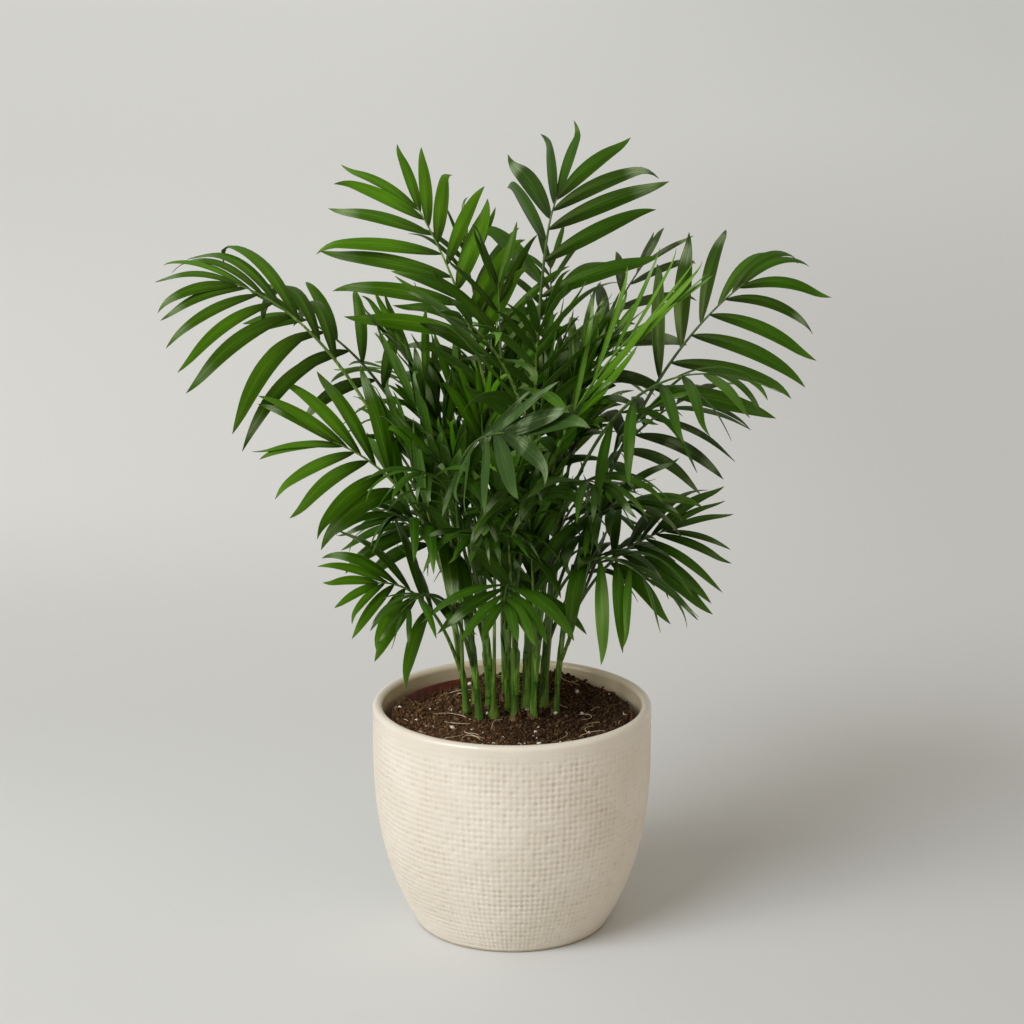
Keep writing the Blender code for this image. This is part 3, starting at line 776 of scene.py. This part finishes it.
leafletShape = {
    "seed": 100,
    "thickness": 0.26 * mm,
    "pleat": 0.030,  # height of the small pleats beside the midrib, as a share of the half width
    "pleats": 4,
    "foldFade": 0.6,  # how much flatter the blade is at its tip
    "foldPower": 1.2,
    "angleAtFork": 0.28,
    "forkShare": 0.985,
    "pairStagger": 0.25,
    "forkStagger": 0.03,
    "crowding": 0.45,  # the leaflets stand closer together towards the fork
    "shortFoot": 0.1,  # how much shorter the first leaflets are
    "footWidth": 1.12,
    "tipStart": 0.76,  # share of the leaflet after which its tip curls
    "droopPower": 1.3,
    "leastDroop": 0.4,
    # how unevenly the leaflets grow; the first three are in degrees
    "angleSpread": 3.5,
    "liftSpread": 6,
    "twistSpread": 16,
    "droopSpread": 0.16,
    "length": (0.94, 1.04),
    "width": (0.82, 1.18),
}


def ribLine(row):
    heading = math.radians(row["heading"])
    out = Vector((math.cos(heading), math.sin(heading), 0))
    aside = Vector((-out.y, out.x, 0))
    fork = out * row["reach"] * mm + up * row["tip"] * mm
    axis = canePoint(row["cane"], row["share"])
    away = fork - axis
    away.z = 0
    away.normalize()
    root = axis + away * caneRadius(row["cane"], row["share"])
    pull = root.lerp(fork, row["lean"]) + aside * row["sweep"] * mm
    pull.z = row["crest"] * mm

    def at(share):
        return root * (1 - share) ** 2 + pull * 2 * share * (1 - share) + fork * share ** 2

    def along(share):
        return ((pull - root) * (1 - share) + (fork - pull) * share).normalized()

    return at, along, aside, away


def bladeWidth(share):  # a leaflet's width along its length, at most about 1: narrow root, fine tip
    return 0.08 * (1 - share) ** 3 + share ** 0.8 * (1 - share) ** 0.9 / 0.309


def leafletPlaces(row):
    last = row["pairs"] - 1
    for pair in range(row["pairs"]):
        for side in (1, -1):
            stagger = leafletShape["pairStagger"] / last if pair < last else leafletShape["forkStagger"]
            even = min(1, max(0, pair / last + side * stagger))
            yield side, even + leafletShape["crowding"] * even * (1 - even)


def ribShare(row, place):  # where on its rib a leaflet stands
    return row["bare"] + (leafletShape["forkShare"] - row["bare"]) * place


def isHigh(row, side):  # on the side of the rib that the roll lifts
    return side * row["roll"] > 0


def leafletStart(row, line, side, place, dice):  # the ways a leaflet's midrib and blade point at its root
    _, along, aside, _ = line
    shape = leafletShape
    forward = along(ribShare(row, place))
    level = (aside - forward * aside.dot(forward)).normalized()
    across = Matrix.Rotation(math.radians(row["roll"]), 3, forward) @ level
    face = forward.cross(across)
    high = isHigh(row, side)
    angle = row["angle"] * (1 + (shape["angleAtFork"] - 1) * place ** row["closing"])
    angle = angle * (row["highAngle"] if high else 1) + dice.gauss(0, shape["angleSpread"] * row["loose"])
    lift = row["highLift"] if high else row["lift"]
    lift += dice.gauss(0, shape["liftSpread"] * row["loose"])
    angle, lift = math.radians(angle), math.radians(lift)
    start = math.cos(angle) * forward + math.sin(angle) * (side * math.cos(lift) * across
                                                           + math.sin(lift) * face)
    blade = (forward - start * forward.dot(start)).normalized()
    return forward, start, blade


def leafletLine(row, line, side, place, dice):  # its midrib as steps of place, way and blade, and its length
    shape = leafletShape
    loose, high = row["loose"], isHigh(row, side)
    forward, start, blade = leafletStart(row, line, side, place, dice)
    length = row["leaf"] * mm * (1 - shape["shortFoot"] * (1 - place) ** 2 - row["taper"] * place ** 2)
    length *= dice.uniform(*shape["length"])
    droop = row["droop"] * max(shape["leastDroop"], dice.gauss(1, shape["droopSpread"] * loose))
    droop *= (row["highDroop"] if high else 1) * (1 + row["heavyFoot"] * (1 - 2 * place))
    pitch = math.radians(row["pitch"]) * side
    twist = math.radians(dice.gauss(0, shape["twistSpread"] * loose))
    hook = row["hook"] * dice.uniform(0, 2)
    curl = Vector([dice.gauss(0, row["curl"]) for _ in range(3)])
    point, steps = line[0](ribShare(row, place)), []
    for step in range(row["along"] + 1):
        part = step / row["along"]
        atTip = max(0, part - shape["tipStart"]) / (1 - shape["tipStart"])
        bend = forward * hook * part - up * droop * part ** shape["droopPower"] + curl * atTip
        way = (start + bend).normalized()
        wide = (blade - way * blade.dot(way)).normalized() * side
        wide = Matrix.Rotation(twist * part + pitch * min(1, 3 * part), 3, way) @ wide
        steps.append((point.copy(), way, wide))
        point += way * length * (row["highLength"] if high else 1) / row["along"]
    return steps, length


def growLeaflet(bm, tints, row, line, side, place, dice):
    steps, length = leafletLine(row, line, side, place, dice)
    atFork = place > 1 - 2 * leafletShape["forkStagger"]
    width = length * row["width"] * dice.uniform(*leafletShape["width"])
    width *= row["forkWidth"] if atFork else leafletShape["footWidth"] - row["slim"] * place
    tint = dice.random()
    cuts = {"x_segments": row["along"], "y_segments": row["across"]}
    grid = bmesh.ops.create_grid(bm, size=0.5, calc_uvs=True, **cuts)
    for vert in grid["verts"]:
        share, over = vert.co.x + 0.5, -2 * vert.co.y
        point, way, wide = steps[round(share * row["along"])]
        upper = wide.cross(way).normalized()
        half = width * bladeWidth(share) / 2
        sag = row["fold"] * (1 - leafletShape["foldFade"] * share) * abs(over) ** leafletShape["foldPower"]
        pleat = leafletShape["pleat"] * math.cos(math.pi * leafletShape["pleats"] * over)
        vert.co = point + wide * half * over + upper * half * (pleat - sag)
        vert[tints] = tint
    bmesh.ops.remove_doubles(bm, verts=grid["verts"], dist=0.02 * mm)


def growLeaflets(row, line, dice):
    bm = bmesh.new()
    bm.loops.layers.uv.new("blade")
    tints = bm.verts.layers.float.new("tint")
    for side, place in leafletPlaces(row):
        growLeaflet(bm, tints, row, line, side, place, dice)
    tops = set(bm.faces)
    bmesh.ops.solidify(bm, geom=list(bm.faces), thickness=leafletShape["thickness"])
    for face in bm.faces:
        if face not in tops:
            face.material_index = 1
    return bm


def stalkLine(row, line):
    at = line[0]
    points = []
    for number in range(stalkShape["points"] + 1):
        share = number / stalkShape["points"]
        if share < row["bare"]:
            thinned = min(1, share / stalkShape["footShare"])
            radius = stalkShape["foot"] + (stalkShape["middle"] - stalkShape["foot"]) * thinned
        else:
            leafy = (share - row["bare"]) / (1 - row["bare"])
            radius = stalkShape["middle"] + (stalkShape["tip"] - stalkShape["middle"]) * leafy
        points.append((at(share), radius))
    return points


sheathShape = {
    "seed": 77,
    "rows": 14,
    "across": 12,
    "gap": 0.22,
    "thickness": 0.22,
    # a green sheath's height, flare and peak in millimetres, and how far it opens
    "height": 26,
    "heights": (0.6, 1.15),
    "flare": 0.9,
    "flares": (0.6, 1.3),
    "peak": 8,
    "opening": (0.5, 0.66),
    # the same for a dry scrap, which starts a little under the soil
    "dryHeight": (4, 9),
    "dryFlare": (0.4, 1.8),
    "dryPeak": (0, 4),
    "dryOpening": (0.7, 0.93),
    "drySink": 3,
}


def growSheath(whole, cane, share, away, height, opening, flare, peak):
    # a leaf's foot wrapped round its cane: closed at the bottom, opening upwards to a V; in millimetres
    shape = sheathShape
    length = canes[cane][4]
    facing = math.atan2(away.y, away.x)
    bm = bmesh.new()
    bmesh.ops.create_grid(bm, x_segments=shape["across"], y_segments=shape["rows"], size=0.5)
    for vert in bm.verts:
        part, over = vert.co.y + 0.5, 2 * vert.co.x
        level = share - (1 - part) * height / length
        reach = caneRadius(cane, level) + (shape["gap"] + flare * part ** 2) * mm
        turn = facing + over * math.pi * (1 - opening * part ** 1.4)
        lift = peak * mm * part ** 2 * (1 - abs(over)) ** 1.2
        vert.co = canePoint(cane, level) + Vector((math.cos(turn), math.sin(turn), 0)) * reach + up * lift
    bmesh.ops.recalc_face_normals(bm, faces=bm.faces)
    bmesh.ops.solidify(bm, geom=list(bm.faces), thickness=shape["thickness"] * mm)
    gather(whole, bm)


def buildSheaths(rows, finish, dry):
    shape = sheathShape
    dice = random.Random(shape["seed"])
    green = bmesh.new()
    for row, line in rows:
        height = shape["height"] * dice.uniform(*shape["heights"])
        opening = dice.uniform(*shape["opening"])
        flare = shape["flare"] * dice.uniform(*shape["flares"])
        growSheath(green, row["cane"], row["share"], line[3], height, opening, flare, shape["peak"])
    makePiece(green, "leafSheaths", "cane", finish)
    brown = bmesh.new()
    for cane in range(len(canes)):
        turn = dice.uniform(0, math.tau)
        away = Vector((math.cos(turn), math.sin(turn), 0))
        height = dice.uniform(*shape["dryHeight"])
        share = (height - shape["drySink"]) / canes[cane][4]
        opening, flare, peak = [dice.uniform(*shape[part]) for part in ("dryOpening", "dryFlare", "dryPeak")]
        growSheath(brown, cane, share, away, height, opening, flare, peak)
    makePiece(brown, "drySheathScraps", "cane", dry)


def leafMaterial(name, base, middle, tip, roughness=0.32, patchy=0.0):
    # Living palm leaflet: waxy deep green, darker towards its foot as partly painted shade deep in the crown,
    # with fine veins along it and a satin gloss; some have a painted silvery highlight before the tip, the
    # patchy ones a pale mottle, and the very tip is dull and dry
    made, tree, shader = startMaterial(name, {"IOR": 1.45, "Specular IOR Level": 0.36,
                                              "Specular Tint": linear("ECFFA0")})
    place = addNode(tree, "UVMap", {"uv_map": "blade"}).outputs["UV"]
    along = addNode(tree, "SeparateXYZ", {"Vector": place}).outputs["X"]
    tint = addNode(tree, "Attribute", {"attribute_name": "tint"}).outputs["Fac"]
    # darker towards the foot, partly as painted shade deep in the crown
    green = mixColour(tree, ramp(tree, along, 0.0, 0.45), linear(base), linear(middle))
    green = mixColour(tree, ramp(tree, along, 0.75, 1.0, 0, 0.8), green, linear(tip))
    green = mixColour(tree, ramp(tree, tint, 0.1, 1.0, 0, 0.6), green, linear(base))
    green = mixColour(tree, ramp(tree, tint, 0.3, 0.0, 0, 0.4), green, linear(tip))
    fine = addNode(tree, "Mapping", {"Vector": place, "Scale": (1.2, 13, 1)}).outputs["Vector"]
    vein = addNode(tree, "TexNoise", {"Vector": fine, "Scale": 1.0, "Detail": 3}).outputs["Fac"]
    green = mixColour(tree, ramp(tree, vein, 0.5, 0.72, 0, 0.6), green, linear(tip))
    green = mixColour(tree, ramp(tree, vein, 0.5, 0.32, 0, 0.5), green, linear(base))
    # painted highlight: a pale silvery band before the tip on some leaflets, joined with a pale mottle
    paintedSheenAndMottle = ramp(tree, tint, 0.55, 0.95, 0, 0.8)
    for part in (ramp(tree, along, 0.66, 0.8), ramp(tree, along, 0.94, 0.84)):
        paintedSheenAndMottle = times(tree, paintedSheenAndMottle, part)
    patch = ramp(tree, objectNoise(tree, 22, 4), 0.5, 0.68, 0, patchy)
    paintedSheenAndMottle = addNode(tree, "Math", {"operation": "MAXIMUM", 0: paintedSheenAndMottle, 1: patch}).outputs[0]
    paintedSheenAndMottle = times(tree, paintedSheenAndMottle, ramp(tree, vein, 0.38, 0.6, 0.1, 1))
    green = mixColour(tree, paintedSheenAndMottle, green, linear("9DB086"))
    green = mixColour(tree, ramp(tree, along, 0.93, 1.0, 0, 0.85), green, linear("4C4C34"))
    tree.links.new(green, shader.inputs["Base Color"])
    tree.links.new(ramp(tree, vein, 0.3, 0.7, roughness, roughness + 0.12), shader.inputs["Roughness"])
    addBump(tree, shader, vein, 0.10)
    return made


leafUppers = (
    leafMaterial("palmLeafShade", "0E1E02", "2C5404", "446A18"),
    leafMaterial("palmLeafGreen", "162E04", "4C7E0A", "628E28"),
    leafMaterial("palmLeafDull", "14260A", "264014", "486632", 0.36, 0.5),
    leafMaterial("palmLeafYoung", "34600A", "548214", "789E3C", 0.38),
)
leafUnders = (
    leafMaterial("palmLeafUnderside", "22400A", "406816", "587E30", 0.5),
    leafMaterial("palmLeafYoungUnderside", "4C7A18", "6C982C", "86AC48", 0.5),
)


def buildFrond(row, number):
    line = ribLine(row)
    slot = "new_leaf" if row["young"] else "leaf"
    under = leafUnders[1 if row["young"] else 0]
    leaflets = growLeaflets(row, line, random.Random(leafletShape["seed"] + number))
    piece = makePiece(leaflets, row["piece"] + "Leaflets", slot, leafUppers[row["tone"]], under, sharpOver=48)
    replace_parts(piece, "frond_" + row["node"])
    tubes(row["piece"] + "Stalk", slot, [stalkLine(row, line)], stalkShape["sides"],
          leafUppers[3] if row["young"] else stalkSkins[row["tone"] % 2])
    return row, line


sprayShape = {
    "count": 18,
    "seed": 31,
    "leafSeed": 300,
    "turn": 137.5,  # degrees from one spray to the next
    "reach": (8, 66),
    "tip": (246, 356),
    "rise": (20, 70),
    "share": (0.05, 0.45),
    "clearFront": 0.6,  # the sprays reach less far to the front, where the drawn fronds show
    "clump": (0.45, 0.3, 17),  # where its cane is looked for: shares of its reach, and millimetres back
    # drawn for each spray, in this order
    "leaf": (60, 80),
    "droop": (0.1, 0.9),
    "roll": (-50, 50),
    "lean": (0.2, 0.5),
    "angle": (24, 46),
}


def sprayRows():  # more fronds of the same kind between the drawn ones, spread evenly through the middle
    shape = sprayShape
    dice = random.Random(shape["seed"])
    nearest, furthest = shape["reach"]
    lowest, highest = shape["tip"]
    for number in range(shape["count"]):
        heading = number * shape["turn"] % 360
        turn = math.radians(heading)
        reach = nearest + (furthest - nearest) * math.sqrt((number + 0.5) / shape["count"])
        tip = lowest + (highest - lowest) * (number * golden % 1)
        wide, deep, back = shape["clump"]
        near = Vector((reach * wide * math.cos(turn), reach * deep * math.sin(turn) + back, 0))
        reach *= 1 - shape["clearFront"] * max(0, -math.sin(turn))
        cane = min(range(len(canes)), key=lambda one: (Vector((*canes[one][:2], 0)) - near).length)
        more = {part: dice.uniform(*shape[part]) for part in ("leaf", "droop", "roll", "lean", "angle")}
        more["tone"] = dice.choice((0, 1))
        share = dice.uniform(*shape["share"])
        crest = tip - dice.uniform(*shape["rise"])
        yield frond("spray", cane, share, heading, reach, tip, crest, normal=sprayNormal, **more)


def buildSprays():
    grown = [(row, ribLine(row)) for row in sprayRows()]
    for tone, name in ((0, "sprayLeafletsDark"), (1, "sprayLeafletsGreen")):
        whole = bmesh.new()
        for number, (row, line) in enumerate(grown):
            if row["tone"] == tone:
                gather(whole, growLeaflets(row, line, random.Random(sprayShape["leafSeed"] + number)))
        makePiece(whole, name, "leaf", leafUppers[tone], leafUnders[0], sharpOver=48)
    stalks = [stalkLine(row, line) for row, line in grown]
    tubes("sprayStalks", "leaf", stalks, stalkShape["sides"], stalkSkins[1])
    return grown


grown = [buildFrond(row, number) for number, row in enumerate(outerFronds + innerFronds)]
print("fronds made:", len(grown))
grown += buildSprays()
buildSheaths(grown, sheathSkin, drySheath)
print("sprays and sheaths made:", sprayShape["count"])


# Stage: a wide pale sweep of paper that fills the view, a soft low key from the front left and a calm sky
stageShape = {
    "floorRadius": 11,
    "coveRadius": 3,
    "coveSteps": 12,
    "steps": 96,
    "leftColour": "E5E7E5",
    "rightColour": "BEC0BE",
    "farLeftColour": "D3D5D3",
    "farRightColour": "C0C2C0",
    "shadeColour": "BCBDBB",  # in front on the right
    "bandColour": "C0C1BE",  # a faint band of painted shade across, just behind the pot
    "skyColour": "FFF8EE",
    "horizon": 0.30,
    "zenith": 0.71,
}


def stageColour(name):
    return linear(stageShape[name + "Colour"])


def paperMaterial():
    # Matt background paper: nearly even pale grey, with painted falloff of light and painted shade: a little
    # darker away from the light and in a band behind the pot
    made, tree, shader = startMaterial("mattPaperSweep", {"Roughness": 0.9, "Specular IOR Level": 0.1})
    across, back = objectAxis(tree, "X"), objectAxis(tree, "Y")
    near = mixColour(tree, ramp(tree, across, -1.6, 1.6), stageColour("left"), stageColour("right"))
    far = mixColour(tree, ramp(tree, across, -0.8, 2.2), stageColour("farLeft"), stageColour("farRight"))
    tone = mixColour(tree, ramp(tree, back, 0, 4), near, far)
    shade = times(tree, ramp(tree, across, -0.15, 0.55, 0, 0.85), ramp(tree, back, 1.2, 5, 1, 0))
    tone = mixColour(tree, shade, tone, stageColour("shade"))
    # painted shade: a faint darker band just behind the pot
    band = times(tree, ramp(tree, back, 0.02, 0.42, 0, 0.5), ramp(tree, back, 0.5, 1.1, 1, 0))
    band = times(tree, band, ramp(tree, across, -3, -1))
    tree.links.new(mixColour(tree, band, tone, stageColour("band")), shader.inputs["Base Color"])
    return made


def buildFloor():
    flat, cove, steps = stageShape["floorRadius"], stageShape["coveRadius"], stageShape["coveSteps"]
    turns = [math.pi / 2 * step / steps for step in range(steps + 1)]
    rising = [(flat + cove * math.sin(turn), cove * (1 - math.cos(turn))) for turn in turns]
    bm = turned([(0, 0)] + rising, stageShape["steps"])
    mesh = bpy.data.meshes.new("studioFloor")
    bm.to_mesh(mesh)
    bm.free()
    mesh.shade_smooth()
    mesh.materials.append(paperMaterial())
    floor = bpy.data.objects.new("studioFloor", mesh)
    bpy.context.scene.collection.objects.link(floor)


def buildSky():
    world = bpy.data.worlds.new("studioSky")
    world.use_nodes = True
    tree = world.node_tree
    sky = tree.nodes["Background"]
    sky.inputs["Color"].default_value = stageColour("sky")
    way = addNode(tree, "TexCoord", {}).outputs["Generated"]
    height = addNode(tree, "SeparateXYZ", {"Vector": way}).outputs["Z"]
    settings = {0: times(tree, height, height), 1: 0, 2: 1, 3: stageShape["horizon"], 4: stageShape["zenith"]}
    tree.links.new(addNode(tree, "MapRange", settings).outputs[0], sky.inputs["Strength"])
    bpy.context.scene.world = world


def buildLight(name, place, energy, spread, colour):  # a far soft box, as wide as spread in degrees
    lamp = bpy.data.lights.new(name, "SUN")
    lamp.energy = energy
    lamp.color = linear(colour)[:3]
    lamp.angle = math.radians(spread)
    holder = bpy.data.objects.new(name, lamp)
    holder.location = place
    holder.rotation_euler = (-Vector(place)).to_track_quat("-Z", "Y").to_euler()
    bpy.context.scene.collection.objects.link(holder)


cameraShape = {
    "lens": 91.05,
    "place": (0, -1.5, 0.648),
    "down": 14.56,  # degrees below level
}


def buildCamera():
    lens = bpy.data.cameras.new("photoCamera")
    lens.sensor_width = 36
    lens.lens = cameraShape["lens"]
    camera = bpy.data.objects.new("photoCamera", lens)
    camera.location = cameraShape["place"]
    camera.rotation_euler = (math.radians(90 - cameraShape["down"]), 0, 0)
    bpy.context.scene.collection.objects.link(camera)
    bpy.context.scene.camera = camera


buildFloor()
buildSky()
buildLight("keyLight", (-2.6, -2.5, 2.9), energy=1.99, spread=32, colour="F4F8FF")
buildLight("leftFill", (-2.2, -0.9, 1.1), energy=0.62, spread=26, colour="FFFDF8")
buildLight("warmFill", (2.4, -1.6, 0.9), energy=0.26, spread=50, colour="FFC878")
buildCamera()
bpy.context.scene.view_settings.view_transform = "Standard"
print("stage made")

bpy.context.view_layer.update()
